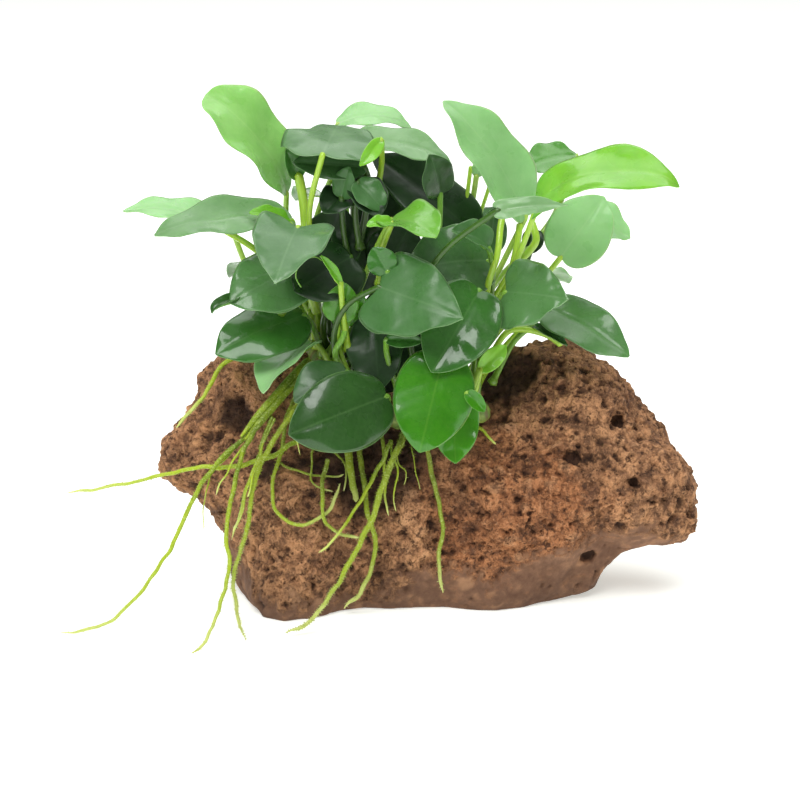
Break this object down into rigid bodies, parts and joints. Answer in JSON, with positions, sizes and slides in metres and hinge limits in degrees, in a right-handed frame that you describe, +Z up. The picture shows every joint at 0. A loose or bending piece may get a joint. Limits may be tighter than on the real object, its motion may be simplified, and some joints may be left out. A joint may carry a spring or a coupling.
{
  "type": "anubias on stone",
  "caption": "Small broad-leaved water plant with a creeping stem and trailing roots, grown on a porous lava stone that stands on a flat underside.",
  "frame": {"origin": "middle of the stone's flat rest face, on the surface it stands on", "axes": "+X along the stone to the right in the picture, +Z up, -Y to the front where the roots hang"},
  "size_m": [0.1622, 0.1034, 0.1316],
  "materials": {
    "lava": "porous rough red-brown lava",
    "stem": "waxy ringed plant stem",
    "root": "soft yellow-green root",
    "leaf_dark": "wet glossy dark green leaf",
    "leaf_green": "wet glossy grey-green leaf",
    "leaf_bright": "glossy young bright green leaf"
  },
  "bodies": {
    "root": {"creeping_stem": "stem", "lava_stone": "lava", "leaf_back_left": "leaf_dark", "leaf_back_low": "leaf_bright", "leaf_back_low_left": "leaf_green", "leaf_back_middle": "leaf_dark", "leaf_back_right": "leaf_dark", "leaf_back_upper_left": "leaf_green", "leaf_back_upper_right": "leaf_dark", "leaf_bright_right": "leaf_bright", "leaf_centre_dark": "leaf_dark", "leaf_centre_fill": "leaf_dark", "leaf_centre_glossy": "leaf_dark", "leaf_centre_large": "leaf_dark", "leaf_core_dark": "leaf_dark", "leaf_core_upper": "leaf_dark", "leaf_crown_dark": "leaf_dark", "leaf_crown_left": "leaf_bright", "leaf_front_bright": "leaf_bright", "leaf_front_glossy": "leaf_dark", "leaf_front_left": "leaf_dark", "leaf_front_left_behind": "leaf_green", "leaf_front_under": "leaf_bright", "leaf_inner_bright": "leaf_bright", "leaf_inner_left": "leaf_dark", "leaf_inner_upper": "leaf_dark", "leaf_left_dark": "leaf_dark", "leaf_left_glossy": "leaf_dark", "leaf_left_heart": "leaf_dark", "leaf_left_hook": "leaf_dark", "leaf_left_pale": "leaf_green", "leaf_light_back": "leaf_bright", "leaf_pale_lip": "leaf_green", "leaf_right_glossy": "leaf_green", "leaf_right_low": "leaf_dark", "leaf_right_pale": "leaf_green", "leaf_right_round": "leaf_green", "leaf_small_bright": "leaf_bright", "leaf_tall_right": "leaf_green", "leaf_top_left": "leaf_green", "leaf_top_light": "leaf_green", "leaf_top_mid": "leaf_green", "leaf_top_small": "leaf_green", "leaf_top_under": "leaf_dark", "leaf_wing_far": "leaf_green", "leaf_wing_left": "leaf_dark", "root_bundle": "root", "root_cross": "root", "root_drop_left": "root", "root_far_left": "root", "root_front": "root", "root_fuzzy": "root", "root_hook": "root", "root_inner": "root", "root_long_left": "root", "root_loop": "root", "root_right": "root", "root_short": "root", "root_sideways": "root", "root_thick_inner": "root"}
  },
  "joints": []
}
